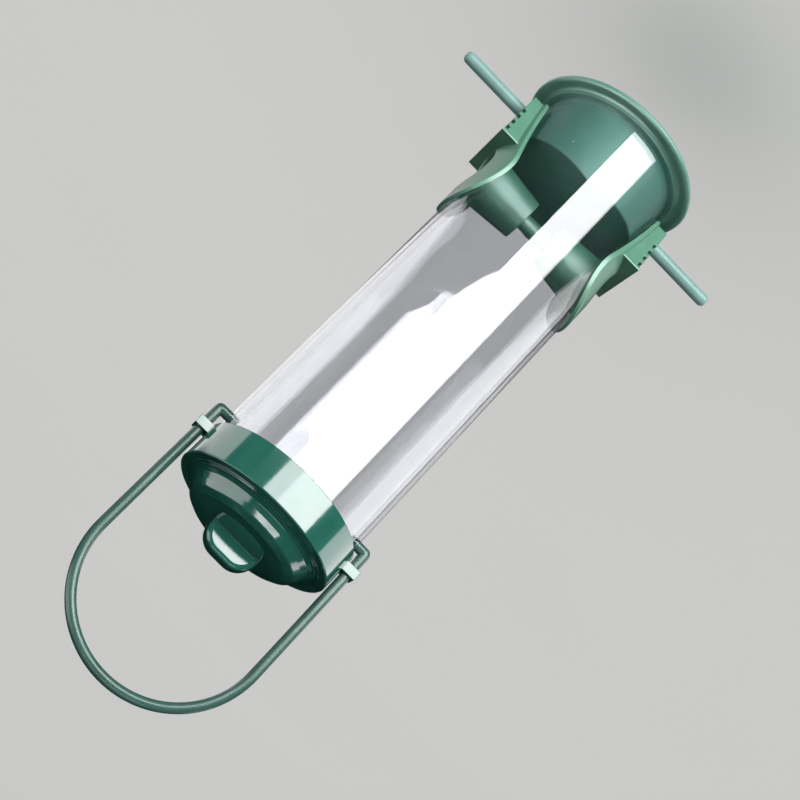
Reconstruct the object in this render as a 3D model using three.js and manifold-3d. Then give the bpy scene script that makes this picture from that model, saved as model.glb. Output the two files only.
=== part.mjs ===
// Hanging bird feeder: a clear seed tube with a lift-off lid, a carrying bow, a push-in base and two
// feeding ports. Millimetres, +Z up, origin at the centre of the base's underside. Ports along X.
import * as THREE from 'three';
import { mergeVertices } from 'three/addons/utils/BufferGeometryUtils.js';
import Module from 'manifold-3d';

const wasm = await Module();
wasm.setup();

// Seed tube
const TUBE_R = 32.5;
const TUBE_WALL = 1.5;
const TUBE_Z0 = 6.9;
const TUBE_Z1 = 216.5;
const ROUND = 64;

// Lid
const LID_R = 34.1;
const LID_BORE_R = 33.15;
const LID_Z0 = 203.8;
const LID_CEILING_Z = 217.4;
const LID_TOP_Z = 218.9;
const DOME_Z = 228.0;
const TAB_HALF_W = 11;
const TAB_Z1 = 237;
const TAB_CORNER_R = 8;
const TAB_BEVEL = 1.6;
const TAB_THICK = 8;
const TAB_DISH_W = 9.4;
const TAB_DISH_DEPTH = 0.6;
const LUG_Z0 = 204.2;
const LUG_Z1 = 208.2;
const LUG_X0 = 33.5;
const LUG_X1 = 39.7;
const LUG_HALF_Y = 3.3;
const LUG_HOLE_R = 2.45;

// Carrying bow
const WIRE_R = 2.0;
const BOW_X = 36.55;
const PIVOT_Z = 197.0;
const BOW_STRAIGHT = 60;
const FOOT_R = 1.94;
const FOOT_X0 = 28.6;
const FOOT_HOLE_R = 2.35;

// Base
const FLANGE_R = 39.3;
const SKIRT_R = 30.65;
const SKIRT_WALL = 1.55;
const ROOF_RIDGE_Z = 39.5;
const ROOF_SLOPE = 0.25;
const ROOF_WALL = 1.8;

// Feeding port
const PORT_Z = 53.2;
const WINDOW_R = 12.4;
const PLATE_R0 = 32.8;
const PLATE_R1 = 34.2;
const PLATE_HALF_W = 21.5;
const PLATE_TAPER = 17;
const PLATE_Z0 = 14.6;
const BAFFLE_X0 = 6.6;
const BAFFLE_R0 = 9.1;
const BAFFLE_SLOPE = 0.107;
const BAFFLE_WALL = 1.1;
const BAFFLE_END = 1.6;
const SLOT_HALF_W = 4.5;
const SLOT_X0 = 13.6;
const SLOT_X1 = 27;
const LEDGE_Z = 41.8;
const LEDGE_X = 37.6;
const LEDGE_HALF_W1 = 17;
const LEDGE_HALF_W0 = 8.6;
const LEDGE_Z0 = 14.8;
const LEDGE_WALL = 1.6;
const LEDGE_FRONT_WALL = 2.6;
const GROOVE_Z = 38.6;
const GROOVE_PITCH = 4.4;
const GROOVE_COUNT = 4;
const GROOVE_W = 2.1;
const GROOVE_DEPTH = 1.4;

// Perches and tie rod
const PERCH_R = 2.6;
const PERCH_Z = 18.7;
const PERCH_X0 = 33.1;
const PERCH_X1 = 69.0;
const PERCH_HOLE_R = 2.9;
const PERCH_BOSS_R = 3.9;
const ROD_R = 3.5;
const ROD_HALF = 11.4;
const ROD_HOLE_R = 3.8;
const ROD_BOSS_R = 5.2;
const ROD_BOSS_X = 12.6;

// Plastics
const material = (color, roughness, extra = {}) =>
  new THREE.MeshStandardMaterial({ color, roughness, metalness: 0, ...extra });

// ---------------------------------------------------------------- solids

function solidOf(geometry) {
  const bare = geometry.clone();
  bare.deleteAttribute('normal');
  bare.deleteAttribute('uv');
  const welded = mergeVertices(bare, 1e-4);
  const corners = welded.index.array;
  const kept = [];
  for (let i = 0; i < corners.length; i += 3) {
    const [a, b, c] = corners.slice(i, i + 3);
    if (a !== b && b !== c && c !== a) {
      kept.push(a, b, c);
    }
  }
  const mesh = new wasm.Mesh({
    numProp: 3,
    vertProperties: new Float32Array(welded.attributes.position.array),
    triVerts: new Uint32Array(kept),
  });
  return new wasm.Manifold(mesh);
}

function geometryOf(solid) {
  const mesh = solid.getMesh();
  const geometry = new THREE.BufferGeometry();
  geometry.setAttribute('position', new THREE.BufferAttribute(mesh.vertProperties.slice(), 3));
  geometry.setIndex(new THREE.BufferAttribute(mesh.triVerts.slice(), 1));
  geometry.computeVertexNormals();
  return geometry;
}

// Body turned about Z. The profile is a list of [radius, height] that runs anticlockwise.
function turned(profile, segments = ROUND) {
  const points = profile.map(([r, z]) => new THREE.Vector2(r, z));
  const closed = profile[0][0] === 0 ? points : [...points, points[0].clone()];
  return solidOf(new THREE.LatheGeometry(closed, segments).rotateX(Math.PI / 2));
}

// Round bar along X, from x0 to x1, at height z.
function barX(x0, x1, z, r0, r1 = r0, segments = 40) {
  const bar = new THREE.CylinderGeometry(r1, r0, x1 - x0, segments);
  bar.rotateZ(-Math.PI / 2);
  bar.translate((x0 + x1) / 2, 0, z);
  return solidOf(bar);
}

// Upright round bar at x.
function barZ(x, z0, z1, r, segments = 32) {
  const bar = new THREE.CylinderGeometry(r, r, z1 - z0, segments);
  bar.rotateX(Math.PI / 2);
  bar.translate(x, 0, (z0 + z1) / 2);
  return solidOf(bar);
}

function block(x0, x1, halfY, z0, z1) {
  const box = new THREE.BoxGeometry(x1 - x0, halfY * 2, z1 - z0);
  box.translate((x0 + x1) / 2, 0, (z0 + z1) / 2);
  return solidOf(box);
}

// Outline in Y and Z, extruded along X.
function slabX(shape, x0, x1, curveSegments = 12) {
  const slab = new THREE.ExtrudeGeometry(shape, { depth: x1 - x0, bevelEnabled: false, curveSegments });
  const axes = new THREE.Matrix4().makeBasis(
    new THREE.Vector3(0, 1, 0),
    new THREE.Vector3(0, 0, 1),
    new THREE.Vector3(1, 0, 0),
  );
  slab.applyMatrix4(axes);
  slab.translate(x0, 0, 0);
  return solidOf(slab);
}

// Outline in X and Z, extruded along Y and centred on it.
function slabY(shape, thickness, bevel = 0, curveSegments = 8) {
  const slab = new THREE.ExtrudeGeometry(shape, {
    depth: thickness - 2 * bevel,
    bevelEnabled: bevel > 0,
    bevelThickness: bevel,
    bevelSize: bevel,
    bevelOffset: -bevel,
    bevelSegments: 3,
    curveSegments,
  });
  slab.translate(0, 0, bevel - thickness / 2);
  slab.rotateX(Math.PI / 2);
  return solidOf(slab);
}

function polygon(points) {
  return new THREE.Shape(points.map(([a, b]) => new THREE.Vector2(a, b)));
}

// ---------------------------------------------------------------- seed tube

function seedTube() {
  const inner = TUBE_R - TUBE_WALL;
  const wall = turned([[inner, TUBE_Z0], [TUBE_R, TUBE_Z0], [TUBE_R, TUBE_Z1], [inner, TUBE_Z1]]);
  const windows = barX(-50, 50, PORT_Z, WINDOW_R);
  const footHoles = barX(-50, 50, PIVOT_Z, FOOT_HOLE_R, FOOT_HOLE_R, 24);
  return wall.subtract(windows).subtract(footHoles);
}

// ---------------------------------------------------------------- base

// Height of the roof-shaped floor's top at x. The ridge runs along Y and each slope falls to a port.
const roofZ = (x) => ROOF_RIDGE_Z - ROOF_SLOPE * Math.abs(x);

function base() {
  const shell = turned([
    [31.8, 0],
    [34.3, 0],
    [35.4, 0.8],
    [37.2, 2.1],
    [38.7, 3.1],
    [FLANGE_R, 3.8],
    [39.1, 4.6],
    [38.4, 5.2],
    [37.5, 5.35],
    [36.5, 5.1],
    [35.5, 4.8],
    [34.6, 4.85],
    [34.0, 5.2],
    [33.6, 5.8],
    [33.3, 6.6],
    [SKIRT_R, 6.6],
    [SKIRT_R, ROOF_RIDGE_Z + 1],
    [SKIRT_R - SKIRT_WALL, ROOF_RIDGE_Z + 1],
    [SKIRT_R - SKIRT_WALL, 4.8],
    [31.4, 4.8],
    [31.8, 4.4],
  ]);
  const reach = 45;
  const underRoof = slabY(polygon([
    [-reach, -5],
    [reach, -5],
    [reach, roofZ(reach)],
    [0, ROOF_RIDGE_Z],
    [-reach, roofZ(reach)],
  ]), 2 * reach);
  const chevron = slabY(polygon([
    [-reach, roofZ(reach) - ROOF_WALL],
    [0, ROOF_RIDGE_Z - ROOF_WALL],
    [reach, roofZ(reach) - ROOF_WALL],
    [reach, roofZ(reach)],
    [0, ROOF_RIDGE_Z],
    [-reach, roofZ(reach)],
  ]), 2 * reach);
  const plug = barZ(0, 20, 60, SKIRT_R - SKIRT_WALL / 2, ROUND);
  return shell.intersect(underRoof).add(chevron.intersect(plug));
}

// ---------------------------------------------------------------- lid

// Half-moon outline of the finger tab in X and Z, straight along its foot.
function tabOutline(halfWidth, z0, z1, corner) {
  const shape = new THREE.Shape();
  shape.moveTo(-halfWidth, z0);
  shape.lineTo(halfWidth, z0);
  shape.lineTo(halfWidth, z1 - corner);
  shape.absarc(halfWidth - corner, z1 - corner, corner, 0, Math.PI / 2, false);
  shape.lineTo(corner - halfWidth, z1);
  shape.absarc(corner - halfWidth, z1 - corner, corner, Math.PI / 2, Math.PI, false);
  shape.closePath();
  return shape;
}

function lid() {
  const cap = turned([
    [0, DOME_Z - 1.6],
    [12, DOME_Z - 1.9],
    [19.0, DOME_Z - 2.7],
    [21.6, DOME_Z - 3.6],
    [23.1, DOME_Z - 4.9],
    [24.3, DOME_Z - 6.6],
    [25.6, DOME_Z - 8.6],
    [27.4, LID_CEILING_Z],
    [LID_BORE_R, LID_CEILING_Z],
    [LID_BORE_R, LID_Z0],
    [LID_R, LID_Z0],
    [LID_R, LID_TOP_Z - 0.5],
    [LID_R - 0.5, LID_TOP_Z],
    [29.3, LID_TOP_Z],
    [29.0, LID_TOP_Z + 0.5],
    [28.0, LID_TOP_Z + 0.8],
    [26.8, LID_TOP_Z + 2.0],
    [25.8, LID_TOP_Z + 3.7],
    [24.6, LID_TOP_Z + 5.5],
    [22.6, LID_TOP_Z + 7.1],
    [19.5, LID_TOP_Z + 8.1],
    [12, DOME_Z - 0.3],
    [0, DOME_Z],
  ]);
  const tabFoot = DOME_Z - 1.2;
  const outline = tabOutline(TAB_HALF_W, tabFoot - TAB_BEVEL, TAB_Z1, TAB_CORNER_R);
  const tab = slabY(outline, TAB_THICK, TAB_BEVEL)
    .intersect(block(-20, 20, 20, tabFoot, TAB_Z1 + 1));
  const dish = slabY(
    tabOutline(TAB_DISH_W, DOME_Z + 0.4, TAB_Z1 - 1.8, TAB_CORNER_R - 1.8),
    TAB_DISH_DEPTH * 2,
  );
  let body = cap.add(tab);
  for (const side of [-1, 1]) {
    body = body.subtract(dish.translate([0, side * TAB_THICK / 2, 0]));
    const x0 = side > 0 ? LUG_X0 : -LUG_X1;
    const x1 = side > 0 ? LUG_X1 : -LUG_X0;
    body = body.add(block(x0, x1, LUG_HALF_Y, LUG_Z0, LUG_Z1));
    body = body.subtract(barZ(side * BOW_X, LUG_Z0 - 2, LUG_Z1 + 2, LUG_HOLE_R, 24));
  }
  return body;
}

// ---------------------------------------------------------------- carrying bow

// Two straight legs joined by a half circle.
class BowCurve extends THREE.CurvePath {
  constructor(z0) {
    super();
    const top = PIVOT_Z + BOW_STRAIGHT;
    const leg = (side, a, b) => new THREE.LineCurve3(
      new THREE.Vector3(side * BOW_X, 0, a),
      new THREE.Vector3(side * BOW_X, 0, b),
    );
    this.add(leg(-1, z0, top));
    this.add(new HalfCircle(top));
    this.add(leg(1, top, z0));
  }
}

class HalfCircle extends THREE.Curve {
  constructor(z) {
    super();
    this.z = z;
  }

  getPoint(t, target = new THREE.Vector3()) {
    const turn = Math.PI * (1 - t);
    return target.set(BOW_X * Math.cos(turn), 0, this.z + BOW_X * Math.sin(turn));
  }
}

// Block on one side of the mitre between a leg and its foot: -1 is under it, 1 is over it.
function mitreBlock(side, way, lift = 0) {
  const size = 16;
  const box = new THREE.BoxGeometry(size, size, size);
  box.translate(0, 0, way * size / 2 + lift);
  box.rotateY(side * Math.PI / 4);
  box.translate(side * BOW_X, 0, PIVOT_Z);
  return solidOf(box);
}

function bow() {
  const section = new THREE.Shape();
  section.absarc(0, 0, WIRE_R, 0, 2 * Math.PI, false);
  const path = new BowCurve(PIVOT_Z - 6);
  const swept = new THREE.ExtrudeGeometry(section, { steps: 44, extrudePath: path, curveSegments: 6 });
  let body = solidOf(swept);
  for (const side of [-1, 1]) {
    const ends = [side * FOOT_X0, side * (BOW_X + 6)].sort((p, q) => p - q);
    const foot = barX(ends[0], ends[1], PIVOT_Z, FOOT_R, FOOT_R, 12);
    body = body.subtract(mitreBlock(side, -1)).add(foot.subtract(mitreBlock(side, 1, 0.2)));
  }
  return body;
}

// ---------------------------------------------------------------- feeding port

// Outline of the saddle plate in Y and Z: round about the mouth, tapering to a narrow foot.
function plateOutline() {
  const taper = THREE.MathUtils.degToRad(PLATE_TAPER);
  const foot = (PLATE_HALF_W - (PORT_Z - PLATE_Z0) * Math.sin(taper)) / Math.cos(taper);
  const shape = new THREE.Shape();
  shape.moveTo(-foot, PLATE_Z0);
  shape.lineTo(foot, PLATE_Z0);
  shape.absarc(0, PORT_Z, PLATE_HALF_W, -taper, Math.PI + taper, false);
  shape.closePath();
  return shape;
}

function ledgeOutline(inset, z0, z1) {
  const slope = (LEDGE_HALF_W1 - LEDGE_HALF_W0) / (LEDGE_Z - LEDGE_Z0);
  const half = (z) => LEDGE_HALF_W0 + slope * (z - LEDGE_Z0) - inset;
  return polygon([[-half(z0), z0], [half(z0), z0], [half(z1), z1], [-half(z1), z1]]);
}

function port() {
  const barrel = (r, z0, z1) => barZ(0, z0, z1, r, ROUND);
  const baffleR = (x) => BAFFLE_R0 + BAFFLE_SLOPE * (x - BAFFLE_X0);
  const plate = slabX(plateOutline(), 20, 40, 20)
    .intersect(barrel(PLATE_R1, 0, 90))
    .subtract(barrel(PLATE_R0, -5, 95));
  // Ledge block, hollow from below.
  const seat = PLATE_R1 - 0.6;
  const ledge = slabX(ledgeOutline(0, LEDGE_Z0, LEDGE_Z), 20, LEDGE_X)
    .subtract(barrel(seat, 0, 90));
  const hollowOutline = ledgeOutline(LEDGE_WALL, LEDGE_Z0 - 4, LEDGE_Z - LEDGE_WALL);
  const hollow = slabX(hollowOutline, 20, LEDGE_X - LEDGE_FRONT_WALL)
    .subtract(barrel(PLATE_R1, 0, 90));
  const boss = barX(PLATE_R0 + 0.8, LEDGE_X - 0.5, PERCH_Z, PERCH_BOSS_R, PERCH_BOSS_R, 28);
  let body = ledge.subtract(hollow).add(plate).add(boss);
  for (let i = 0; i < GROOVE_COUNT; i += 1) {
    const z = GROOVE_Z - i * GROOVE_PITCH;
    const cut = block(LEDGE_X - GROOVE_DEPTH, LEDGE_X + 2, 30, z - GROOVE_W / 2, z + GROOVE_W / 2);
    body = body.subtract(cut);
  }
  // Tapered baffle behind the feeding mouth, with a socket for the tie rod in its closed end.
  const end = PLATE_R1 + 1;
  const skin = barX(BAFFLE_X0, end, PORT_Z, baffleR(BAFFLE_X0), baffleR(end), 48)
    .intersect(barrel(PLATE_R1 - 0.2, 20, 90));
  const inside = BAFFLE_X0 + BAFFLE_END;
  const throatR = (x) => baffleR(x) - BAFFLE_WALL;
  const throat = barX(inside, end + 2, PORT_Z, throatR(inside), throatR(end + 2), 48);
  const rodBoss = barX(BAFFLE_X0 + 0.4, ROD_BOSS_X, PORT_Z, ROD_BOSS_R, ROD_BOSS_R, 32);
  const rodHole = barX(BAFFLE_X0 - 2, ROD_BOSS_X - 0.9, PORT_Z, ROD_HOLE_R, ROD_HOLE_R, 28);
  const slot = block(SLOT_X0, SLOT_X1, SLOT_HALF_W, PORT_Z - 20, PORT_Z - 6);
  const perchHole = barX(20, 45, PERCH_Z, PERCH_HOLE_R, PERCH_HOLE_R, 28);
  return body.add(skin)
    .subtract(throat)
    .add(rodBoss)
    .subtract(rodHole)
    .subtract(slot)
    .subtract(perchHole);
}

// ---------------------------------------------------------------- perch and tie rod

// Round bar turned about X from a list of [x, radius].
function turnedX(profile, segments) {
  const points = profile.map(([x, r]) => new THREE.Vector2(r, x));
  return solidOf(new THREE.LatheGeometry(points, segments).rotateZ(-Math.PI / 2));
}

function perch() {
  const tip = [];
  for (let i = 1; i <= 4; i += 1) {
    const turn = (i / 4) * Math.PI / 2;
    tip.push([PERCH_X1 - PERCH_R + PERCH_R * Math.sin(turn), i < 4 ? PERCH_R * Math.cos(turn) : 0]);
  }
  return turnedX([
    [PERCH_X0, 0],
    [PERCH_X0, PERCH_R - 0.5],
    [PERCH_X0 + 0.5, PERCH_R],
    [PERCH_X1 - PERCH_R, PERCH_R],
    ...tip,
  ], 20);
}

function tieRod() {
  return turnedX([
    [-ROD_HALF, 0],
    [-ROD_HALF, ROD_R - 0.5],
    [0.5 - ROD_HALF, ROD_R],
    [ROD_HALF - 0.5, ROD_R],
    [ROD_HALF, ROD_R - 0.5],
    [ROD_HALF, 0],
  ], 24);
}

// ---------------------------------------------------------------- assembly

const feeder = new THREE.Group();

function piece(name, solid, look, parent = feeder) {
  const mesh = new THREE.Mesh(geometryOf(solid), look);
  mesh.name = name;
  parent.add(mesh);
  return mesh;
}

piece('seed_tube', seedTube(), material(0xdfe4ea, 0.06, { transparent: true, opacity: 0.3 }));
piece('base', base(), material(0x2f6b58, 0.32));
piece('lid', lid(), material(0x1d5546, 0.2));
piece('handle', bow(), material(0x2b4f45, 0.3));
piece('tie_rod', tieRod(), material(0x3a6f60, 0.4)).position.z = PORT_Z;

const sides = [['a', 0], ['b', Math.PI]];
for (const [label, turn] of sides) {
  const side = new THREE.Group();
  side.rotation.z = turn;
  feeder.add(side);
  piece(`port_${label}`, port(), material(0x3f7f69, 0.42), side);
  piece(`perch_${label}`, perch(), material(0x74928d, 0.4), side).position.z = PERCH_Z;
}

export default feeder;
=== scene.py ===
import math

import bmesh
import bpy
from mathutils import Matrix, Vector


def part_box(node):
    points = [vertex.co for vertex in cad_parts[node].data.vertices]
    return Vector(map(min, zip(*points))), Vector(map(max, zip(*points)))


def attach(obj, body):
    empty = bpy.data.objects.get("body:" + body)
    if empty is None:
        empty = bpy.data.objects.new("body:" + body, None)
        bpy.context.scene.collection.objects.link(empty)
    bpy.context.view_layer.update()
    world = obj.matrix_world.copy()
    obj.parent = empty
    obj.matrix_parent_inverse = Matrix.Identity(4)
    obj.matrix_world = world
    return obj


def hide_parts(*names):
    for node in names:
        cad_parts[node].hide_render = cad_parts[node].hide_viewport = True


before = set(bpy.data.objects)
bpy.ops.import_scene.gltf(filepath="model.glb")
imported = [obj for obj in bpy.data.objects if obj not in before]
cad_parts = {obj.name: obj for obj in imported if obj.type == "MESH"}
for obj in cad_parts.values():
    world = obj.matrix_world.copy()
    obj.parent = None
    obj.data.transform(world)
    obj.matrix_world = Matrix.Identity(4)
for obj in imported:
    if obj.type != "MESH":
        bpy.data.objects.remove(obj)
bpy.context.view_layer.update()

MM = 0.001
TURN = 2 * math.pi
# Sides of a large turned piece, and of the rings of the base and the ports.
SEGMENTS = 192
# A ring with a smaller radius is a single point.
POLE_R = 1e-6


def extent(node):
    """Lowest and highest corner of a CAD node in millimetres."""
    low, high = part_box(node)
    return [v / MM for v in low], [v / MM for v in high]


TUBE_LOW, TUBE_HIGH = extent("seed_tube")
BASE_HIGH = extent("base")[1]
LID_LOW, LID_HIGH = extent("lid")
BOW_LOW, BOW_HIGH = extent("handle")
PORT_LOW, PORT_HIGH = extent("port_a")
PERCH_LOW, PERCH_HIGH = extent("perch_a")
ROD_LOW, ROD_HIGH = extent("tie_rod")

# ---------------------------------------------------------------- materials

# Scales of the plastics' noises, in features per metre.
CLOUD_SCALE = 38.0
FLOW_SCALE = 90.0
GLOSS_SCALE = 160.0
SKIN_SCALE = 1400.0
WAVE_SCALE = 120.0
DUST_SCALE = 260.0
DRAW_LINE_SCALE = 420.0
SCUFF_SCALE = 55.0

DUST_SIZE = 0.14
DUST_STRENGTH = 0.55
DUST_COLOUR = (0.72, 0.78, 0.74)
PLASTIC_IOR = 1.5
# Share of light that the clear plastic mirrors, seen face on and at a grazing angle.
MIRROR_FACE_ON = 0.075
MIRROR_GRAZING = 0.80


def new_material(name):
    """Empty node material with its output."""
    mat = bpy.data.materials.new(name)
    mat.use_nodes = True
    tree = mat.node_tree
    tree.nodes.clear()
    out = tree.nodes.new("ShaderNodeOutputMaterial")
    return mat, tree, out


def noise(tree, coords, scale, detail=3.0, rough=0.5, stretch=None):
    """Noise between 0 and 1, which a small stretch along an axis draws out into lines."""
    if stretch is not None:
        mapping = tree.nodes.new("ShaderNodeMapping")
        mapping.inputs["Scale"].default_value = stretch
        tree.links.new(coords, mapping.inputs["Vector"])
        coords = mapping.outputs["Vector"]
    tex = tree.nodes.new("ShaderNodeTexNoise")
    tex.inputs["Scale"].default_value = scale
    tex.inputs["Detail"].default_value = detail
    tex.inputs["Roughness"].default_value = rough
    tree.links.new(coords, tex.inputs["Vector"])
    return tex.outputs["Fac"]


def remap(tree, value, from_low, from_high, to_low, to_high):
    """Maps one range onto another and clamps."""
    node = tree.nodes.new("ShaderNodeMapRange")
    node.inputs["From Min"].default_value = from_low
    node.inputs["From Max"].default_value = from_high
    node.inputs["To Min"].default_value = to_low
    node.inputs["To Max"].default_value = to_high
    tree.links.new(value, node.inputs["Value"])
    return node.outputs["Result"]


def mix_colour(tree, factor, a, b):
    """Mixes two colours, each of them a tuple or a node's output."""
    node = tree.nodes.new("ShaderNodeMix")
    node.data_type = "RGBA"
    tree.links.new(factor, node.inputs[0])
    for value, target in ((a, node.inputs[6]), (b, node.inputs[7])):
        if hasattr(value, "is_linked"):
            tree.links.new(value, target)
        else:
            target.default_value = (*value, 1.0)
    return node.outputs[2]


def specks(tree, coords, scale, share, size):
    """Small round specks of dust on a few of the cells: 1 on a speck, 0 off it."""
    cells = tree.nodes.new("ShaderNodeTexVoronoi")
    cells.inputs["Scale"].default_value = scale
    tree.links.new(coords, cells.inputs["Vector"])
    near = remap(tree, cells.outputs["Distance"], size * 0.6, size, 1.0, 0.0)
    pick = tree.nodes.new("ShaderNodeSeparateColor")
    tree.links.new(cells.outputs["Color"], pick.inputs["Color"])
    chosen = tree.nodes.new("ShaderNodeMath")
    chosen.operation = "GREATER_THAN"
    chosen.inputs[1].default_value = 1.0 - share
    tree.links.new(pick.outputs["Red"], chosen.inputs[0])
    both = tree.nodes.new("ShaderNodeMath")
    both.operation = "MULTIPLY"
    tree.links.new(near, both.inputs[0])
    tree.links.new(chosen.outputs[0], both.inputs[1])
    return both.outputs[0]


def plastic(name, dark, light, rough, bump, gloss=0.5, coat=0.0, coat_rough=0.08, dust=0.0):
    """Moulded plastic: cloudy pigment, uneven gloss, a fine orange-peel skin and a little dust."""
    mat, tree, out = new_material(name)
    coords = tree.nodes.new("ShaderNodeTexCoord").outputs["Object"]
    shader = tree.nodes.new("ShaderNodeBsdfPrincipled")
    clouds = noise(tree, coords, CLOUD_SCALE, 4.0, 0.55)
    flow = noise(tree, coords, FLOW_SCALE, 3.0, 0.5, stretch=(1.0, 1.0, 0.25))
    tone = tree.nodes.new("ShaderNodeMath")
    tone.operation = "MULTIPLY"
    tree.links.new(clouds, tone.inputs[0])
    tree.links.new(flow, tone.inputs[1])
    colour = mix_colour(tree, remap(tree, tone.outputs[0], 0.12, 0.40, 0.0, 1.0), dark, light)
    if dust > 0:
        flecks = specks(tree, coords, DUST_SCALE, dust, DUST_SIZE)
        weak = remap(tree, flecks, 0.0, 1.0, 0.0, DUST_STRENGTH)
        colour = mix_colour(tree, weak, colour, DUST_COLOUR)
    tree.links.new(colour, shader.inputs["Base Color"])
    uneven = noise(tree, coords, GLOSS_SCALE, 4.0, 0.6)
    tree.links.new(remap(tree, uneven, 0.3, 0.7, *rough), shader.inputs["Roughness"])
    shader.inputs["Specular IOR Level"].default_value = gloss
    shader.inputs["IOR"].default_value = PLASTIC_IOR
    shader.inputs["Coat Weight"].default_value = coat
    shader.inputs["Coat Roughness"].default_value = coat_rough
    skin = noise(tree, coords, SKIN_SCALE, 2.0, 0.5)
    wave = noise(tree, coords, WAVE_SCALE, 2.0, 0.4)
    height = tree.nodes.new("ShaderNodeMath")
    height.operation = "MULTIPLY_ADD"
    height.inputs[1].default_value = 0.12
    tree.links.new(skin, height.inputs[0])
    tree.links.new(wave, height.inputs[2])
    relief = tree.nodes.new("ShaderNodeBump")
    relief.inputs["Strength"].default_value = bump
    relief.inputs["Distance"].default_value = 0.0004
    tree.links.new(height.outputs[0], relief.inputs["Height"])
    tree.links.new(relief.outputs["Normal"], shader.inputs["Normal"])
    tree.links.new(shader.outputs[0], out.inputs["Surface"])
    return mat


def clear_plastic(name):
    """Thin clear plastic: passes light straight through, tints it faintly, mirrors more at grazing
    angles, and has faint draw lines along its length."""
    mat, tree, out = new_material(name)
    coords = tree.nodes.new("ShaderNodeTexCoord").outputs["Object"]
    lines = noise(tree, coords, DRAW_LINE_SCALE, 3.0, 0.5, stretch=(1.0, 1.0, 0.012))
    scuff = noise(tree, coords, SCUFF_SCALE, 5.0, 0.6)
    relief = tree.nodes.new("ShaderNodeBump")
    relief.inputs["Strength"].default_value = 0.012
    relief.inputs["Distance"].default_value = 0.00002
    tree.links.new(lines, relief.inputs["Height"])
    through = tree.nodes.new("ShaderNodeBsdfTransparent")
    tint = mix_colour(tree, scuff, (0.925, 0.930, 0.950), (0.955, 0.958, 0.972))
    tree.links.new(tint, through.inputs["Color"])
    mirror = tree.nodes.new("ShaderNodeBsdfGlossy")
    tree.links.new(remap(tree, scuff, 0.3, 0.7, 0.01, 0.03), mirror.inputs["Roughness"])
    mirror.inputs["Color"].default_value = (1.0, 1.0, 1.0, 1.0)
    tree.links.new(relief.outputs["Normal"], mirror.inputs["Normal"])
    facing = tree.nodes.new("ShaderNodeLayerWeight")
    facing.inputs["Blend"].default_value = 0.5
    grazing = tree.nodes.new("ShaderNodeMath")
    grazing.operation = "POWER"
    grazing.inputs[1].default_value = 5.0
    tree.links.new(facing.outputs["Facing"], grazing.inputs[0])
    blend = tree.nodes.new("ShaderNodeMixShader")
    share = remap(tree, grazing.outputs[0], 0.0, 1.0, MIRROR_FACE_ON, MIRROR_GRAZING)
    tree.links.new(share, blend.inputs[0])
    tree.links.new(through.outputs[0], blend.inputs[1])
    tree.links.new(mirror.outputs[0], blend.inputs[2])
    tree.links.new(blend.outputs[0], out.inputs["Surface"])
    return mat


LID_GREEN = plastic(
    "lid_green_gloss", (0.015, 0.100, 0.074), (0.025, 0.140, 0.106),
    rough=(0.08, 0.15), bump=0.05, gloss=1.0, coat=0.8,
)
BASE_GREEN = plastic(
    "base_green_soft_gloss", (0.060, 0.210, 0.155), (0.090, 0.280, 0.212),
    rough=(0.40, 0.50), bump=0.12, gloss=1.0, coat=0.7, coat_rough=0.42, dust=0.04,
)
BOW_GREEN = plastic(
    "bow_green", (0.030, 0.085, 0.068), (0.045, 0.115, 0.095),
    rough=(0.20, 0.34), bump=0.14, gloss=0.8,
)
PORT_GREEN = plastic(
    "port_green_satin", (0.060, 0.200, 0.130), (0.084, 0.255, 0.170),
    rough=(0.36, 0.44), bump=0.10, gloss=1.0, coat=0.7, coat_rough=0.36, dust=0.04,
)
PERCH_GREY = plastic(
    "perch_grey_green", (0.175, 0.315, 0.293), (0.232, 0.398, 0.368),
    rough=(0.26, 0.38), bump=0.16,
)
CLEAR = clear_plastic("clear_plastic")

# ---------------------------------------------------------------- mesh helpers


def add_object(name, verts, faces, mat, flat_angle=35):
    """Object from points in millimetres, with its doubles merged and its normals outward."""
    mesh = bpy.data.meshes.new(name)
    mesh.from_pydata([[c * MM for c in v] for v in verts], [], faces)
    work = bmesh.new()
    work.from_mesh(mesh)
    bmesh.ops.remove_doubles(work, verts=work.verts, dist=1e-7)
    bmesh.ops.recalc_face_normals(work, faces=work.faces)
    work.to_mesh(mesh)
    work.free()
    obj = bpy.data.objects.new(name, mesh)
    bpy.context.scene.collection.objects.link(obj)
    obj.data.materials.append(mat)
    shade(obj, flat_angle)
    return obj


def shade(obj, angle):
    """Shades an object smooth except over edges sharper than an angle in degrees."""
    mesh = obj.data
    mesh.polygons.foreach_set("use_smooth", [True] * len(mesh.polygons))
    mesh.set_sharp_from_angle(angle=math.radians(angle))


def ring_mesh(name, rings, mat, closed=False, flat_angle=35):
    """Joins rings of equal length with quads. A ring of one point is a pole."""
    verts, starts, faces = [], [], []
    for ring in rings:
        starts.append((len(verts), len(ring)))
        verts.extend(ring)
    pairs = list(zip(starts, starts[1:]))
    if closed:
        pairs.append((starts[-1], starts[0]))
    for (a, na), (b, nb) in pairs:
        count = max(na, nb)
        if count == 1:
            continue
        for i in range(count):
            j = (i + 1) % count
            if na == 1:
                faces.append((a, b + j, b + i))
            elif nb == 1:
                faces.append((a + i, a + j, b))
            else:
                faces.append((a + i, a + j, b + j, b + i))
    return add_object(name, verts, faces, mat, flat_angle)


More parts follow.
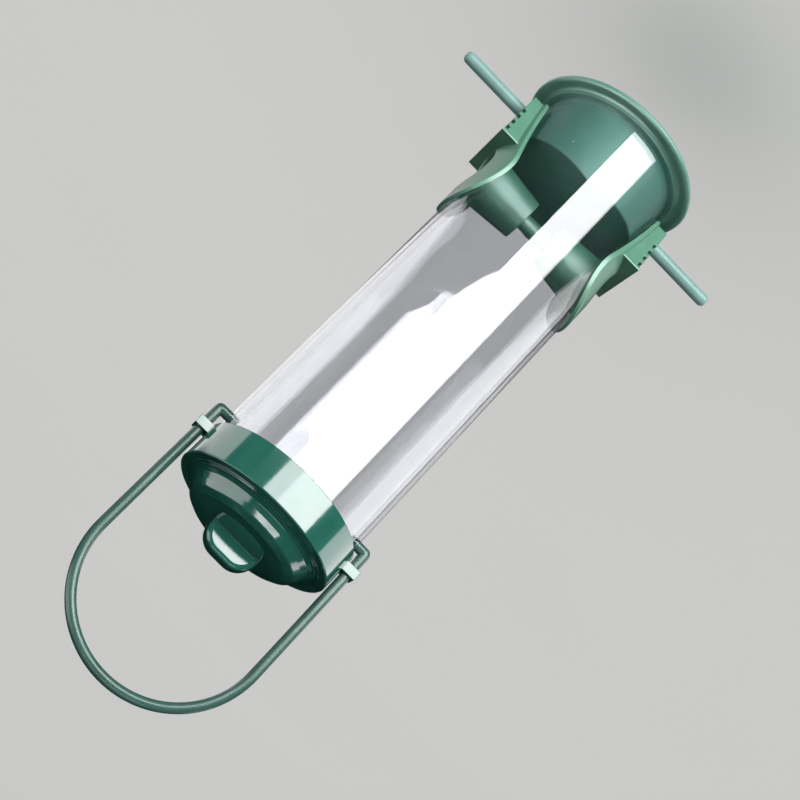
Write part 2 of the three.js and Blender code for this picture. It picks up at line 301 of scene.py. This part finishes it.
def rounded(profile, steps=4, closed=True):
    """Rounds the corners of a profile of (a, b, radius) into arcs."""
    count = len(profile)
    out = []
    for i, (a, b, radius) in enumerate(profile):
        ends = not closed and i in (0, count - 1)
        if radius <= 0 or ends:
            out.append((a, b))
            continue
        here = Vector((a, b))
        before = Vector(profile[i - 1][:2]) - here
        after = Vector(profile[(i + 1) % count][:2]) - here
        if before.length < 1e-9 or after.length < 1e-9:
            out.append((a, b))
            continue
        half = before.angle(after) / 2
        if half > math.radians(89):
            out.append((a, b))
            continue
        reach = min(radius / math.tan(half), before.length * 0.49, after.length * 0.49)
        bend = reach * math.tan(half)
        middle = here + (before.normalized() + after.normalized()).normalized() * (bend / math.sin(half))
        first = here + before.normalized() * reach - middle
        last = here + after.normalized() * reach - middle
        sweep = first.angle_signed(last)
        for k in range(steps + 1):
            point = first.copy()
            point.rotate(Matrix.Rotation(-sweep * k / steps, 2))
            out.append(tuple(point + middle))
    return out


def circle(radius, height):
    """Ring about Z whose height may depend on x."""
    ring = []
    for i in range(SEGMENTS):
        turn = TURN * i / SEGMENTS
        x, y = radius * math.cos(turn), radius * math.sin(turn)
        ring.append((x, y, height(x) if callable(height) else height))
    return ring


def lathe(name, profile, mat, flat_angle=35):
    """Turns a closed profile of (radius, height) about Z."""
    rings = [circle(r, z) if r > POLE_R else [(0.0, 0.0, z)] for r, z in profile]
    return ring_mesh(name, rings, mat, True, flat_angle)


def box_solid(low, high, mat):
    """Box between two corners."""
    corners = [(x, y, z) for x in (low[0], high[0]) for y in (low[1], high[1]) for z in (low[2], high[2])]
    faces = [(0, 1, 3, 2), (4, 6, 7, 5), (0, 4, 5, 1), (2, 3, 7, 6), (0, 2, 6, 4), (1, 5, 7, 3)]
    return add_object("box", corners, faces, mat)


def bar_solid(centre, axis, radius, length, mat, segments=64):
    """Round bar about a centre, along X or Z."""
    rings = []
    for end in (-length / 2, length / 2):
        ring = []
        for i in range(segments):
            a, b = radius * math.cos(TURN * i / segments), radius * math.sin(TURN * i / segments)
            at = (end, a, b) if axis == "X" else (a, b, end)
            ring.append(tuple(centre[k] + at[k] for k in range(3)))
        rings.append(ring)
    first = [tuple(sum(v[k] for v in rings[0]) / segments for k in range(3))]
    last = [tuple(sum(v[k] for v in rings[1]) / segments for k in range(3))]
    return ring_mesh("bar", [first, *rings, last], mat)


def cut(obj, cutters, flat_angle=35):
    """Takes each cutter out of the object and removes the cutter."""
    bpy.context.view_layer.objects.active = obj
    for cutter in cutters:
        step = obj.modifiers.new("cut", "BOOLEAN")
        step.operation = "DIFFERENCE"
        step.solver = "EXACT"
        step.object = cutter
        bpy.ops.object.modifier_apply(modifier=step.name)
        mesh = cutter.data
        bpy.data.objects.remove(cutter)
        bpy.data.meshes.remove(mesh)
    shade(obj, flat_angle)


def bevel(obj, width, segments, angle):
    """Rounds an object's edges that are sharper than an angle in degrees."""
    bpy.context.view_layer.objects.active = obj
    step = obj.modifiers.new("round", "BEVEL")
    step.width = width * MM
    step.segments = segments
    step.limit_method = "ANGLE"
    step.angle_limit = math.radians(angle)
    step.use_clamp_overlap = True
    bpy.ops.object.modifier_apply(modifier=step.name)
    shade(obj, 60)


def weld(obj, fill=False):
    """Merges the seams of a joined object, and may close the gaps left in it."""
    work = bmesh.new()
    work.from_mesh(obj.data)
    bmesh.ops.remove_doubles(work, verts=work.verts, dist=2e-6)
    if fill:
        bmesh.ops.holes_fill(work, edges=[e for e in work.edges if e.is_boundary], sides=0)
    bmesh.ops.recalc_face_normals(work, faces=work.faces)
    work.to_mesh(obj.data)
    work.free()


def weigh_normals(obj):
    """Keeps large faces flat and lets the narrow faces of the bevels carry the bend."""
    bpy.context.view_layer.objects.active = obj
    step = obj.modifiers.new("weigh", "WEIGHTED_NORMAL")
    step.mode = "FACE_AREA"
    step.weight = 50
    step.keep_sharp = True
    bpy.ops.object.modifier_apply(modifier=step.name)


def join(name, objects):
    """Joins several objects into the first and names it."""
    bpy.ops.object.select_all(action="DESELECT")
    for obj in objects:
        obj.select_set(True)
    bpy.context.view_layer.objects.active = objects[0]
    bpy.ops.object.join()
    joined = bpy.context.view_layer.objects.active
    joined.name = name
    joined.data.name = name
    return joined


def place(obj, body, slot, *nodes):
    """Finishes a piece: evens its normals, hides the CAD nodes it stands for and attaches it to the body it
    rides. The slot argument is not used.
    """
    weigh_normals(obj)
    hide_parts(*nodes)
    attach(obj, body)


# ---------------------------------------------------------------- seed tube

TUBE_R = TUBE_HIGH[0]
TUBE_INNER = TUBE_R - 1.5
END_ROUND = 0.35
# Distance from each end of a ring that keeps the long wall's shading straight.
END_RING = 1.2
PORT_Z = (ROD_LOW[2] + ROD_HIGH[2]) / 2
WINDOW_R = 12.4
BOW_R = 2.0
PIVOT_Z = BOW_LOW[2] + BOW_R
PIVOT_HOLE_R = 2.35
ACROSS = 90.0

tube = lathe("seed_tube_wall", rounded([
    (TUBE_INNER, TUBE_LOW[2], END_ROUND),
    (TUBE_R, TUBE_LOW[2], END_ROUND),
    (TUBE_R, TUBE_LOW[2] + END_RING, 0.0),
    (TUBE_R, TUBE_HIGH[2] - END_RING, 0.0),
    (TUBE_R, TUBE_HIGH[2], END_ROUND),
    (TUBE_INNER, TUBE_HIGH[2], END_ROUND),
    (TUBE_INNER, TUBE_HIGH[2] - END_RING, 0.0),
    (TUBE_INNER, TUBE_LOW[2] + END_RING, 0.0),
], 3), CLEAR, flat_angle=60)
cut(tube, [
    bar_solid((0, 0, PORT_Z), "X", WINDOW_R, ACROSS, CLEAR, 96),
    bar_solid((0, 0, PIVOT_Z), "X", PIVOT_HOLE_R, ACROSS, CLEAR, 48),
], flat_angle=30)
place(tube, "feeder", "clear_plastic", "seed_tube")

# ---------------------------------------------------------------- base

RIDGE_Z = BASE_HIGH[2]
SLOPE = 0.25
RIDGE_EASE = 0.5
SKIRT_R = 30.65
SKIRT_INNER = 29.1
FLOOR_THICK = 1.8
FOOT_INNER = 31.8
FOOT_CEILING = 4.8


def roof(drop):
    """Height of the sloping floor, eased over its ridge."""
    return lambda x: RIDGE_Z - drop - SLOPE * math.sqrt(x * x + RIDGE_EASE)


flange = rounded([
    (FOOT_INNER, 0.0, 0.3),
    (34.3, 0.0, 0.4),
    (35.4, 0.8, 0.8),
    (37.2, 2.1, 1.2),
    (38.8, 3.1, 0.7),
    (BASE_HIGH[0], 3.75, 0.28),
    (39.05, 4.7, 0.7),
    (38.4, 5.25, 1.2),
    (37.5, 5.4, 2.5),
    (36.5, 5.1, 2.5),
    (35.4, 4.75, 2.0),
    (34.4, 4.9, 1.2),
    (33.6, 5.7, 0.7),
    (33.35, 6.6, 0.25),
    (31.2, 6.6, 0.0),
    (SKIRT_R, 6.9, 0.0),
], 5, closed=False)
base_rings = [circle(r, z) for r, z in flange]
base_rings += [circle(SKIRT_R, z) for z in (12.0, 18.0, 24.0)]
base_rings += [
    circle(SKIRT_R, roof(0.8)),
    circle(SKIRT_R - 0.12, roof(0.35)),
    circle(SKIRT_R - 0.4, roof(0.08)),
    circle(SKIRT_R - 0.8, roof(0.0)),
]
base_rings += [circle(r, roof(0.0)) for r in (26, 22, 18, 14, 10, 7, 4.5, 2.5, 1.2)]
base_rings.append([(0.0, 0.0, roof(0.0)(0.0))])
base = ring_mesh("base_upper", base_rings, BASE_GREEN)
under_rings = [circle(FOOT_INNER, 0.0), circle(FOOT_INNER, FOOT_CEILING - 0.4)]
under_rings += [circle(FOOT_INNER - 0.4, FOOT_CEILING), circle(SKIRT_INNER, FOOT_CEILING)]
under_rings += [circle(SKIRT_INNER, z) for z in (12.0, 20.0)]
under_rings += [circle(r, roof(FLOOR_THICK)) for r in (SKIRT_INNER, 24, 16, 8)]
under_rings.append([(0.0, 0.0, roof(FLOOR_THICK)(0.0))])
underside = ring_mesh("base_under", under_rings, BASE_GREEN)
base = join("base_moulding", [base, underside])
weld(base, fill=True)
place(base, "foot", "base_green", "base")

# ---------------------------------------------------------------- lid

LID_R = LID_HIGH[1]
BORE_R = 33.15
CEILING_Z = 217.4
TOP_Z = 218.9
DOME_Z = 228.0
LUG_Z = (204.2, 208.2)
LUG_REACH = (33.5, 39.7)
LUG_HALF = 3.3
LUG_X = 36.55
LUG_HOLE_R = 2.45
TAB_HALF_THICK = 4.0
DISH_DEPTH = 0.7

outer = [
    (BORE_R, LID_LOW[2], 0.2),
    (LID_R, LID_LOW[2], 0.3),
    (LID_R, TOP_Z, 0.55),
    (30.6, TOP_Z, 0.1),
    (30.5, TOP_Z + 0.28, 0.1),
    (29.9, TOP_Z + 0.28, 0.1),
    (29.8, TOP_Z - 0.05, 0.1),
    (29.3, TOP_Z - 0.05, 0.2),
    (29.1, TOP_Z + 0.55, 0.2),
    (28.3, TOP_Z + 0.75, 0.5),
    (26.9, TOP_Z + 1.8, 1.2),
    (25.7, TOP_Z + 3.9, 1.6),
    (24.2, TOP_Z + 6.1, 2.2),
    (21.3, TOP_Z + 7.7, 2.6),
    (16.5, TOP_Z + 8.55, 6.0),
    (9.0, TOP_Z + 8.95, 8.0),
    (0.0, DOME_Z, 0.0),
]
inner = [
    (0.0, DOME_Z - 1.6, 0.0),
    (12.0, DOME_Z - 1.9, 4.0),
    (19.0, DOME_Z - 2.7, 3.0),
    (23.1, DOME_Z - 4.9, 2.0),
    (25.6, DOME_Z - 8.6, 1.5),
    (27.4, CEILING_Z, 0.5),
    (BORE_R, CEILING_Z, 0.4),
]
lid_profile = rounded([inner[-1], *outer], 5, closed=False)[1:]
lid_profile += rounded([*inner, outer[0]], 4, closed=False)[:-1]
cap = lathe("lid_cap", lid_profile, LID_GREEN)


def slab(outline, half_thick, name, mat):
    """Closed slab from an outline of (x, z) points."""
    count = len(outline)
    verts = [(x, y, z) for y in (-half_thick, half_thick) for x, z in outline]
    faces = [tuple(range(count)), tuple(range(2 * count - 1, count - 1, -1))]
    faces += [(i, (i + 1) % count, count + (i + 1) % count, count + i) for i in range(count)]
    return add_object(name, verts, faces, mat)


def half_moon(half, low, high, radius, steps=14):
    """Outline straight along its foot, with two large rounded upper corners."""
    points = [(-half, low), (half, low)]
    for centre, start in ((half - radius, 0.0), (radius - half, math.pi / 2)):
        for k in range(steps + 1):
            turn = start + k / steps * math.pi / 2
            points.append((centre + radius * math.cos(turn), high - radius + radius * math.sin(turn)))
    return points


tab_outline = half_moon(11.0, DOME_Z - 4.0, LID_HIGH[2], 8.0)
dish_outline = half_moon(9.4, DOME_Z + 0.4, LID_HIGH[2] - 1.7, 6.4)
tab = slab(tab_outline, TAB_HALF_THICK, "lid_tab", LID_GREEN)
bevel(tab, 1.7, 6, 50)
dishes = []
for side in (-1, 1):
    dish = slab(dish_outline, DISH_DEPTH, "dish", LID_GREEN)
    bevel(dish, 0.45, 3, 50)
    dish.location.y = side * TAB_HALF_THICK * MM
    bpy.context.view_layer.update()
    dishes.append(dish)
cut(tab, dishes, flat_angle=40)
lugs = []
for side in (-1, 1):
    low_x, high_x = sorted(side * x for x in LUG_REACH)
    lug = box_solid((low_x, -LUG_HALF, LUG_Z[0]), (high_x, LUG_HALF, LUG_Z[1]), LID_GREEN)
    cut(lug, [bar_solid((side * LUG_X, 0, sum(LUG_Z) / 2), "Z", LUG_HOLE_R, 12, LID_GREEN, 48)])
    bevel(lug, 0.25, 2, 50)
    lugs.append(lug)
lid = join("lid_moulding", [cap, tab, *lugs])
place(lid, "cap", "lid_green", "lid")

# ---------------------------------------------------------------- carrying bow

BOW_X = BOW_HIGH[0] - BOW_R
BOW_TOP = BOW_HIGH[2] - BOW_R - BOW_X
FOOT_X = 28.6
FOOT_ROUND = 0.5
LEG_RINGS = (8.0, 20.0, 40.0)
ARCH_STEPS = 96


def bow_rings(sides=32, elbow=2.6, steps=6):
    """Rings along the bow. At an elbow the outer side turns in an arc and the inner side in a corner."""
    path = [(-FOOT_X, PIVOT_Z), (-FOOT_X - FOOT_ROUND, PIVOT_Z), (-BOW_X, PIVOT_Z)]
    path += [(-BOW_X, PIVOT_Z + h) for h in LEG_RINGS]
    for k in range(ARCH_STEPS + 1):
        turn = math.pi * (1 - k / ARCH_STEPS)
        path.append((BOW_X * math.cos(turn), BOW_TOP + BOW_X * math.sin(turn)))
    path += [(BOW_X, PIVOT_Z + h) for h in reversed(LEG_RINGS)]
    path += [(BOW_X, PIVOT_Z), (FOOT_X + FOOT_ROUND, PIVOT_Z), (FOOT_X, PIVOT_Z)]
    rings = []
    for i, here in enumerate(path):
        point = Vector(here)
        ways = []
        if i > 0:
            ways.append((point - Vector(path[i - 1])).normalized())
        if i < len(path) - 1:
            ways.append((Vector(path[i + 1]) - point).normalized())
        along = sum(ways, Vector((0, 0))).normalized()
        across = Vector((along.y, -along.x))
        radius = BOW_R - (FOOT_ROUND if i in (0, len(path) - 1) else 0.0)
        bent = along.dot(ways[0]) < 0.9
        outward = -1.0 if across.dot(ways[-1]) > 0 else 1.0
        for step in range(steps + 1) if bent else (0,):
            ring = []
            for k in range(sides):
                turn = TURN * k / sides
                side = across * (radius * math.cos(turn) / along.dot(ways[0]))
                spot = point + side
                if bent:
                    reach = elbow * (1.0 + outward * math.cos(turn)) / 2
                    sweep = step / steps * math.pi / 2
                    spot += ways[0] * (reach * (math.sin(sweep) - 1.0))
                    spot += ways[-1] * (reach * (1.0 - math.cos(sweep)))
                ring.append((spot.x, radius * math.sin(turn), spot.y))
            rings.append(ring)
    first, last = [[(x, 0.0, z)] for x, z in (path[0], path[-1])]
    return [first, *rings, last]


bow = ring_mesh("bow_bar", bow_rings(), BOW_GREEN, flat_angle=50)
place(bow, "bow", "bow_green", "handle")

# ---------------------------------------------------------------- ports

PLATE_IN, PLATE_OUT = 32.8, 34.2
PLATE_HALF = PORT_HIGH[1]
TAPER = math.radians(17)
FOOT_Z = PORT_LOW[2]
MOUTH_R = 11.3
MOUTH_BACK_R = 11.9
# The baffle behind the mouth narrows towards its closed tip.
TIP_X = 6.6
TIP_R = 9.1
BAFFLE_SPREAD = 0.107
BAFFLE_WALL = 1.1
BAFFLE_FLOOR_X = 8.2
SOCKET_R = 3.8
BOSS_R = 5.2
BOSS_LENGTH = 5.2
LEDGE_FOOT, LEDGE_TOP = 14.8, 41.8
LEDGE_FOOT_HALF, LEDGE_TOP_HALF = 8.6, 17.0
LEDGE_BACK_R = 33.7
GROOVES = 4
GROOVE_TOP = 38.6
GROOVE_PITCH = 4.4
GROOVE_HALF = 1.05
GROOVE_DEPTH = 1.4
LIP_OUT = 0.35
PERCH_HOLE_R = 2.9


def outline_point(turn, inset=0.0):
    """Point of the saddle plate's outline in (y, z) in the direction of turn from the mouth's centre."""
    dy, dz = math.cos(turn), math.sin(turn)
    radius = PLATE_HALF - inset
    lean = (math.pi / 2 - turn) % TURN - math.pi
    reach = radius
    if abs(lean) < math.pi / 2 - TAPER:
        reach = radius / math.cos(math.pi / 2 - TAPER - abs(lean))
    floor = PORT_Z - FOOT_Z - inset
    if dz < 0:
        reach = min(reach, floor / -dz)
    return reach * dy, PORT_Z + reach * dz


def port_rings():
    """Rings from the saddle plate's rim over its face, into the mouth, and back along the baffle."""
    turns = [TURN * i / SEGMENTS for i in range(SEGMENTS)]

    def on_plate(share, radius, inset=0.0, hole=MOUTH_R):
        """Ring on the plate, from its mouth (share 0) to its outline (share 1)."""
        ring = []
        for turn in turns:
            oy, oz = outline_point(turn, inset)
            hy, hz = hole * math.cos(turn), PORT_Z + hole * math.sin(turn)
            y, z = hy + (oy - hy) * share, hz + (oz - hz) * share
            ring.append((math.sqrt(radius * radius - y * y), y, z))
        return ring

    def in_cone(x, shrink):
        """Round ring on the baffle, inside its outer face by shrink."""
        r = TIP_R + BAFFLE_SPREAD * (x - TIP_X) - shrink
        return [(x, r * math.cos(t), PORT_Z + r * math.sin(t)) for t in turns]

    def saddle(radius, r):
        """Ring of radius r about the mouth, laid on a cylinder about Z."""
        ring = []
        for t in turns:
            y = r * math.cos(t)
            ring.append((math.sqrt(radius * radius - y * y), y, PORT_Z + r * math.sin(t)))
        return ring

    rings = [on_plate(1.0, PLATE_IN), on_plate(1.0, 33.4), on_plate(1.0, 33.98), on_plate(1.0, 34.13, 0.06)]
    rings.append(on_plate(1.0, PLATE_OUT, 0.22))
    rings += [on_plate(share, PLATE_OUT, 0.22 * share) for share in (0.95, 0.85, 0.65, 0.45, 0.25, 0.1, 0.0)]
    rings += [saddle(34.1, 11.08), saddle(33.85, 10.93), saddle(33.3, 10.84)]
    rings += [in_cone(x, BAFFLE_WALL) for x in (27.0, 20.0, 13.0, BAFFLE_FLOOR_X)]
    rings.append([(BAFFLE_FLOOR_X, 0.0, PORT_Z)])
    back = [[(TIP_X, 0.0, PORT_Z)]]
    back += [in_cone(TIP_X, 0.5), in_cone(TIP_X + 0.15, 0.15), in_cone(TIP_X + 0.5, 0.0)]
    back += [in_cone(x, 0.0) for x in (13.0, 20.0, 26.0)]
    back.append(saddle(PLATE_IN, MOUTH_BACK_R))
    back += [on_plate(share, PLATE_IN, 0.0, MOUTH_BACK_R) for share in (0.3, 0.7)]
    back.append(rings[0])
    return rings, back


def ledge_half(z):
    """Half width of the ledge at a height."""
    return LEDGE_FOOT_HALF + (LEDGE_TOP_HALF - LEDGE_FOOT_HALF) * (z - LEDGE_FOOT) / (LEDGE_TOP - LEDGE_FOOT)


def ledge(steps=24):
    """Ledge block under the mouth: splayed sides, a flat top and grooves across its front."""
    front = PORT_HIGH[0]
    face = [(front, LEDGE_FOOT)]
    for i in reversed(range(GROOVES)):
        z = GROOVE_TOP - i * GROOVE_PITCH
        face += [(front, z - GROOVE_HALF), (front - GROOVE_DEPTH, z - GROOVE_HALF)]
        face += [(front - GROOVE_DEPTH, z + GROOVE_HALF), (front, z + GROOVE_HALF)]
    face.append((front, LEDGE_TOP))
    verts, faces = [], []
    for x, z in face:
        verts += [(x, -ledge_half(z), z), (x, ledge_half(z), z)]
    ends = len(verts)
    for a in range(0, ends - 2, 2):
        faces.append((a, a + 1, a + 3, a + 2))
    for z in (LEDGE_FOOT, LEDGE_TOP):
        for k in range(steps + 1):
            y = ledge_half(z) * (2 * k / steps - 1)
            verts.append((math.sqrt(LEDGE_BACK_R ** 2 - y * y), y, z))
    foot = range(ends, ends + steps + 1)
    top = range(ends + steps + 1, ends + 2 * steps + 2)
    faces += [(foot[k], foot[k + 1], top[k + 1], top[k]) for k in range(steps)]
    faces.append((0, *foot, 1))
    faces.append((ends - 2, *top, ends - 1))
    faces.append((*range(0, ends, 2), top[0], foot[0]))
    faces.append((*range(1, ends, 2), top[-1], foot[-1]))
    obj = add_object("port_ledge", verts, faces, PORT_GREEN)
    bevel(obj, 0.2, 2, 40)
    return obj


def ledge_lip():
    """Thin lip round the ledge's upper edge."""
    high = LEDGE_TOP + 0.05
    back, front = 29.0, PORT_HIGH[0] + LIP_OUT
    outer, inner = LEDGE_TOP_HALF + 0.3, LEDGE_TOP_HALF - 0.6
    within = PORT_HIGH[0] - 0.6
    outline = [(front, -outer), (front, outer), (back, outer), (back, inner)]
    outline += [(within, inner), (within, -inner), (back, -inner), (back, -outer)]
    count = len(outline)
    verts = [(x, y, z) for z in (high - 0.75, high) for x, y in outline]
    faces = [(0, 1, 4, 5), (1, 2, 3, 4), (0, 5, 6, 7)]
    faces += [tuple(reversed([v + count for v in face])) for face in faces]
    faces += [(i, (i + 1) % count, count + (i + 1) % count, count + i) for i in range(count)]
    lip = add_object("ledge_lip", verts, faces, PORT_GREEN)
    bevel(lip, 0.15, 2, 40)
    return lip


def build_port(label, side):
    """Port moulding on one side: saddle plate, mouth, baffle, ledge and the ledge's lip."""
    front, back = port_rings()
    skin = ring_mesh("port_face", front, PORT_GREEN)
    inside = ring_mesh("port_back", back, PORT_GREEN)
    shell = join("port_shell", [skin, inside])
    weld(shell)
    cut(shell, [box_solid((13.6, -4.5, 30.0), (27.0, 4.5, PORT_Z - 6), PORT_GREEN)])
    boss = bar_solid((10.0, 0, PORT_Z), "X", BOSS_R, BOSS_LENGTH, PORT_GREEN)
    cut(shell, [bar_solid((7.5, 0, PORT_Z), "X", SOCKET_R, 6.0, PORT_GREEN)])
    cut(boss, [bar_solid((8.0, 0, PORT_Z), "X", SOCKET_R, 7.4, PORT_GREEN)])
    block = ledge()
    lip = ledge_lip()
    hole_z = (PERCH_LOW[2] + PERCH_HIGH[2]) / 2
    cut(block, [bar_solid((38.0, 0, hole_z), "X", PERCH_HOLE_R, 16.0, PORT_GREEN)], flat_angle=50)
    moulding = join("port_" + label + "_moulding", [shell, boss, block, lip])
    if side < 0:
        moulding.data.transform(Matrix.Rotation(math.pi, 4, "Z"))
    place(moulding, "feeder", "port_green", "port_" + label)


def turned_bar(name, profile, mat, segments=64):
    """Round bar along X from (x, radius) points."""
    rings = []
    for x, r in profile:
        if r < POLE_R:
            rings.append([(x, 0.0, 0.0)])
        else:
            rings.append([(x, r * math.cos(TURN * i / segments), r * math.sin(TURN * i / segments))
                          for i in range(segments)])
    return ring_mesh(name, rings, mat)


def build_perch(label, side):
    """Perch on one side, with a rounded outer end."""
    low, high = PERCH_LOW[0], PERCH_HIGH[0]
    z, radius = (PERCH_LOW[2] + PERCH_HIGH[2]) / 2, (PERCH_HIGH[2] - PERCH_LOW[2]) / 2
    profile = [(low, 0.0), (low, radius - 0.5), (low + 0.15, radius - 0.2), (low + 0.5, radius)]
    profile += [(low + 8.0, radius), (low + 20.0, radius), (high - 3.0, radius)]
    for k in range(13):
        turn = k / 12 * math.pi / 2
        profile.append((high - 2.4 + 2.4 * math.sin(turn), radius * math.cos(turn) ** 0.8 if k < 12 else 0.0))
    bar = turned_bar("perch_" + label + "_bar", profile, PERCH_GREY)
    bar.data.transform(Matrix.Translation((0, 0, z * MM)))
    if side < 0:
        bar.data.transform(Matrix.Rotation(math.pi, 4, "Z"))
    place(bar, "feeder", "perch_grey", "perch_" + label)


for label, side in (("a", 1), ("b", -1)):
    build_port(label, side)
    build_perch(label, side)

half_rod = ROD_HIGH[0]
rod = turned_bar("tie_rod_bar", [
    (-half_rod, 0.0),
    (-half_rod, 3.0),
    (0.2 - half_rod, 3.35),
    (0.6 - half_rod, 3.5),
    (0.0, 3.5),
    (half_rod - 0.6, 3.5),
    (half_rod - 0.2, 3.35),
    (half_rod, 3.0),
    (half_rod, 0.0),
], PORT_GREEN)
rod.data.transform(Matrix.Translation((0, 0, PORT_Z * MM)))
place(rod, "feeder", "port_green", "tie_rod")

# ---------------------------------------------------------------- stage, lights and camera

# The feeder hangs clear of the floor, so that the base stays in sight when it is pulled off.
FLOOR_Z = -60.0 * MM
FLOOR_HALF = 30.0

floor_mesh = bpy.data.meshes.new("floor")
floor_corners = [(x * FLOOR_HALF, y * FLOOR_HALF, FLOOR_Z) for x, y in ((-1, -1), (1, -1), (1, 1), (-1, 1))]
floor_mesh.from_pydata(floor_corners, [], [(0, 1, 2, 3)])
floor = bpy.data.objects.new("floor", floor_mesh)
bpy.context.scene.collection.objects.link(floor)
floor_mat, floor_tree, floor_out = new_material("floor_pale")
floor_shader = floor_tree.nodes.new("ShaderNodeBsdfPrincipled")
floor_coords = floor_tree.nodes.new("ShaderNodeTexCoord").outputs["Object"]
floor_clouds = noise(floor_tree, floor_coords, 3.0, 2.0)
floor_tone = mix_colour(floor_tree, floor_clouds, (0.70, 0.70, 0.69), (0.72, 0.72, 0.71))
floor_tree.links.new(floor_tone, floor_shader.inputs["Base Color"])
floor_shader.inputs["Roughness"].default_value = 0.9
floor_shader.inputs["Specular IOR Level"].default_value = 0.1
floor_tree.links.new(floor_shader.outputs[0], floor_out.inputs["Surface"])
floor_mesh.materials.append(floor_mat)
floor.visible_glossy = False
floor.visible_shadow = False

world = bpy.data.worlds.new("studio")
bpy.context.scene.world = world
world.use_nodes = True
backdrop = world.node_tree.nodes["Background"]
backdrop.inputs["Color"].default_value = (0.80, 0.80, 0.79, 1.0)
# The surround is as pale as the floor to the eye, and lights the object more weakly.
LIGHTING_STRENGTH = 0.22
SEEN_STRENGTH = 0.72
seen = world.node_tree.nodes.new("ShaderNodeLightPath").outputs["Is Camera Ray"]
strength = remap(world.node_tree, seen, 0.0, 1.0, LIGHTING_STRENGTH, SEEN_STRENGTH)
world.node_tree.links.new(strength, backdrop.inputs["Strength"])
world.cycles_visibility.glossy = False

CENTRE = Vector((0.0, 0.0, 0.12))


def area_light(name, place, way, width, height, radiance):
    """Area light of a given radiance, whose face looks against the direction way."""
    data = bpy.data.lights.new(name, "AREA")
    data.shape = "RECTANGLE"
    data.size, data.size_y = width, height
    data.energy = radiance * math.pi * width * height
    light = bpy.data.objects.new(name, data)
    bpy.context.scene.collection.objects.link(light)
    light.location = place
    light.rotation_mode = "QUATERNION"
    light.rotation_quaternion = way.to_track_quat("Z", "Y")
    light.visible_camera = False
    return light


def soft_light(name, azimuth, elevation, distance, size, radiance):
    """Large soft light that only lights, and isn't mirrored. Azimuth runs from +X towards +Y."""
    a, e = math.radians(azimuth), math.radians(elevation)
    way = Vector((math.cos(a) * math.cos(e), math.sin(a) * math.cos(e), math.sin(e)))
    light = area_light(name, CENTRE + way * distance, way, size, size, radiance)
    light.visible_glossy = False
    return light


def panel(name, first, last, low, high, radiance):
    """Upright panel between two (azimuth, distance) ends, that gloss mirrors and that doesn't light."""
    ends = []
    for azimuth, distance in (first, last):
        turn = math.radians(azimuth)
        ends.append(Vector((distance * math.cos(turn), distance * math.sin(turn), 0.0)))
    span = ends[1] - ends[0]
    way = Vector((span.y, -span.x, 0.0)).normalized()
    place = (ends[0] + ends[1]) / 2 + Vector((0.0, 0.0, (low + high) / 2))
    light = area_light(name, place, way, span.length, high - low, radiance)
    light.visible_diffuse = False
    light.visible_transmission = False
    return light


def link_light(light, state, *names):
    """Lets a light reach only the named objects (INCLUDE), or everything but them (EXCLUDE)."""
    group = bpy.data.collections.new(light.name + "_targets")
    for name in names:
        group.objects.link(bpy.data.objects[name])
    light.light_linking.receiver_collection = group
    for member in group.collection_objects:
        member.light_linking.link_state = state


# Name, azimuth, elevation, distance, size and radiance.
link_light(soft_light("key_light", -105, -12, 5.0, 4.1, 7.0), "EXCLUDE", "floor")
link_light(soft_light("fill_light", -20, 5, 4.0, 2.4, 1.6), "EXCLUDE", "floor")
link_light(soft_light("back_light", 100, 15, 5.0, 3.0, 2.6), "EXCLUDE", "floor")

sun_data = bpy.data.lights.new("floor_light", "SUN")
sun_data.energy = 2.1
sun_data.angle = math.radians(150)
sun = bpy.data.objects.new("floor_light", sun_data)
bpy.context.scene.collection.objects.link(sun)
sun.location = (0.0, 0.0, 3.0)
sun.visible_glossy = False
link_light(sun, "INCLUDE", "floor")

# Name, first and last end, lowest and highest edge, and radiance.
panel("panel_main", (-139, 1.41), (-88, 1.41), -1.15, -0.12, 7.0)
panel("panel_upper", (-88, 1.28), (-67, 1.42), -0.62, -0.12, 5.2)
panel("panel_low", (-67, 1.50), (-44, 1.50), -0.62, -0.38, 2.6)
panel("panel_right", (140, 1.42), (187, 1.42), -0.74, -0.17, 1.9)
panel("panel_left", (-6, 1.84), (84, 1.84), -0.70, -0.22, 1.5)
panel("panel_over", (-138, 1.40), (-70, 1.40), 1.50, 1.74, 5.0)
panel("panel_high_left", (-56, 1.90), (32, 1.90), 0.70, 2.00, 1.7)
panel("panel_high_right", (150, 1.30), (166, 1.30), 0.54, 0.91, 2.0)
for_rim = panel("panel_rim", (-90, 1.30), (-10, 1.30), 1.00, 2.60, 6.5)
link_light(for_rim, "INCLUDE", "base_moulding")
for_ports = panel("panel_ports", (-128, 1.45), (-64, 1.45), -0.12, 0.62, 7.0)
link_light(for_ports, "INCLUDE", "port_a_moulding", "port_b_moulding", "tie_rod_bar")

camera_data = bpy.data.cameras.new("camera")
camera = bpy.data.objects.new("camera", camera_data)
bpy.context.scene.collection.objects.link(camera)
camera_data.sensor_width = 36.0
camera_data.lens = 77.9
camera_data.clip_start, camera_data.clip_end = 0.01, 100.0
# The camera's axes and place, fitted to the photo.
right = Vector((-0.69777442, -0.33909227, -0.63097328))
down = Vector((-0.71323301, 0.24723445, 0.65587636))
ahead = Vector((-0.06640427, 0.90768472, -0.41436568))
turned = Matrix((right, -down, -ahead)).transposed().to_4x4()
camera.matrix_world = Matrix.Translation(Vector((0.03508, -0.58007, 0.40954))) @ turned
bpy.context.scene.camera = camera
bpy.context.scene.view_settings.view_transform = "Standard"
